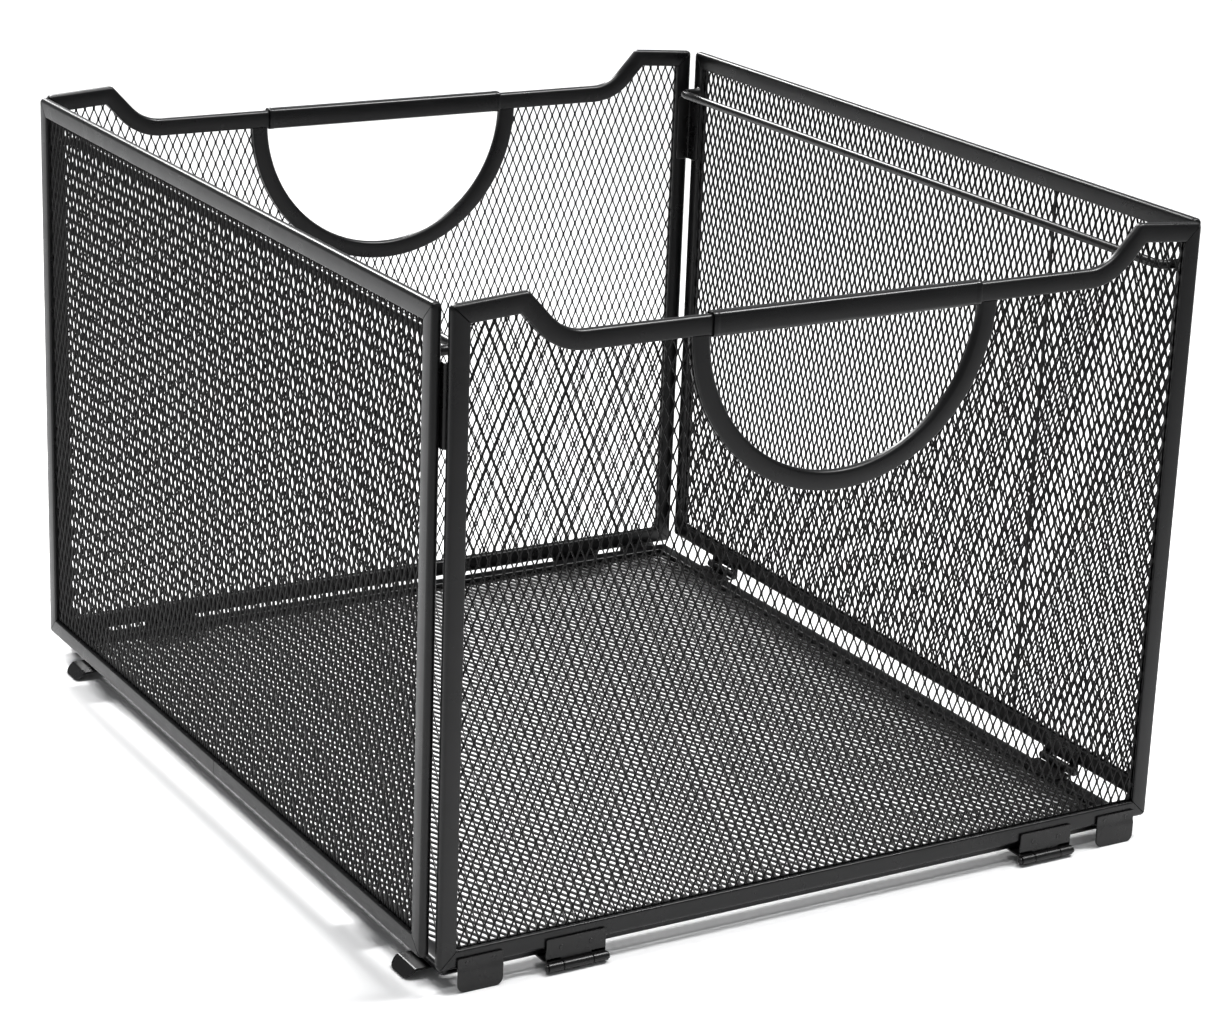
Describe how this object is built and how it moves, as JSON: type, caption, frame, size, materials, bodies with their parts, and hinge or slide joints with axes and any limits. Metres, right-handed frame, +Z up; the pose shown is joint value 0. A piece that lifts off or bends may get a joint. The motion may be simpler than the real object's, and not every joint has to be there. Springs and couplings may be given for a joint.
{
  "type": "hanging file rack",
  "caption": "Collapsible open-top rack of black expanded-metal mesh in channel frames, with side rails for hanging files, hinged panels and dropped hand grips.",
  "frame": {"origin": "centre of the footprint, on the surface that the rack stands on", "axes": "+X to the right side, +Y from the front end panel to the back end panel along the file rails, +Z up"},
  "size_m": [0.36, 0.4176, 0.2793],
  "materials": {
    "rim_coat": "satin black powder coat",
    "mesh_coat": "satin black powder coat",
    "grip_sleeve": "smooth black",
    "hardware_coat": "satin black coat over stamped steel"
  },
  "bodies": {
    "base": {"base_frame": "rim_coat", "base_mesh": "mesh_coat", "base_foot_left_front": "hardware_coat", "base_foot_left_back": "hardware_coat", "base_foot_right_front": "hardware_coat", "base_foot_right_back": "hardware_coat", "front_hinge_left_base_leaf": "hardware_coat", "front_hinge_right_base_leaf": "hardware_coat", "back_hinge_left_base_leaf": "hardware_coat", "back_hinge_right_base_leaf": "hardware_coat", "left_hinge_front_base_leaf": "hardware_coat", "left_hinge_back_base_leaf": "hardware_coat", "right_hinge_front_base_leaf": "hardware_coat", "right_hinge_back_base_leaf": "hardware_coat"},
    "front_panel": {"front_frame": "rim_coat", "front_mesh": "mesh_coat", "front_handle_trim": "rim_coat", "front_handle_grip": "grip_sleeve", "front_foot_left": "hardware_coat", "front_foot_right": "hardware_coat", "front_hinge_left_panel_leaf": "hardware_coat", "front_hinge_left_pin": "hardware_coat", "front_hinge_right_panel_leaf": "hardware_coat", "front_hinge_right_pin": "hardware_coat"},
    "back_panel": {"back_frame": "rim_coat", "back_mesh": "mesh_coat", "back_handle_trim": "rim_coat", "back_handle_grip": "grip_sleeve", "back_foot_left": "hardware_coat", "back_foot_right": "hardware_coat", "back_hinge_left_panel_leaf": "hardware_coat", "back_hinge_left_pin": "hardware_coat", "back_hinge_right_panel_leaf": "hardware_coat", "back_hinge_right_pin": "hardware_coat"},
    "left_panel": {"left_frame": "rim_coat", "left_mesh": "mesh_coat", "left_file_rail": "hardware_coat", "left_bracket_front": "hardware_coat", "left_bracket_back": "hardware_coat", "left_hinge_front_panel_leaf": "hardware_coat", "left_hinge_front_pin": "hardware_coat", "left_hinge_back_panel_leaf": "hardware_coat", "left_hinge_back_pin": "hardware_coat"},
    "right_panel": {"right_frame": "rim_coat", "right_mesh": "mesh_coat", "right_file_rail": "hardware_coat", "right_bracket_front": "hardware_coat", "right_bracket_back": "hardware_coat", "right_hinge_front_panel_leaf": "hardware_coat", "right_hinge_front_pin": "hardware_coat", "right_hinge_back_panel_leaf": "hardware_coat", "right_hinge_back_pin": "hardware_coat"}
  },
  "joints": [
    {"name": "front_fold", "type": "hinge", "parent": "base", "child": "front_panel", "pos_m": [0, -0.2068, 0.0027], "axis": [1, 0, 0], "range_deg": [0, 90]},
    {"name": "back_fold", "type": "hinge", "parent": "base", "child": "back_panel", "pos_m": [0, 0.2068, 0.0027], "axis": [-1, 0, 0], "range_deg": [0, 90]},
    {"name": "left_fold", "type": "hinge", "parent": "base", "child": "left_panel", "pos_m": [-0.1733, 0, 0.0117], "axis": [0, 1, 0], "range_deg": [0, 88]},
    {"name": "right_fold", "type": "hinge", "parent": "base", "child": "right_panel", "pos_m": [0.1733, 0, 0.0117], "axis": [0, -1, 0], "range_deg": [0, 78]}
  ]
}
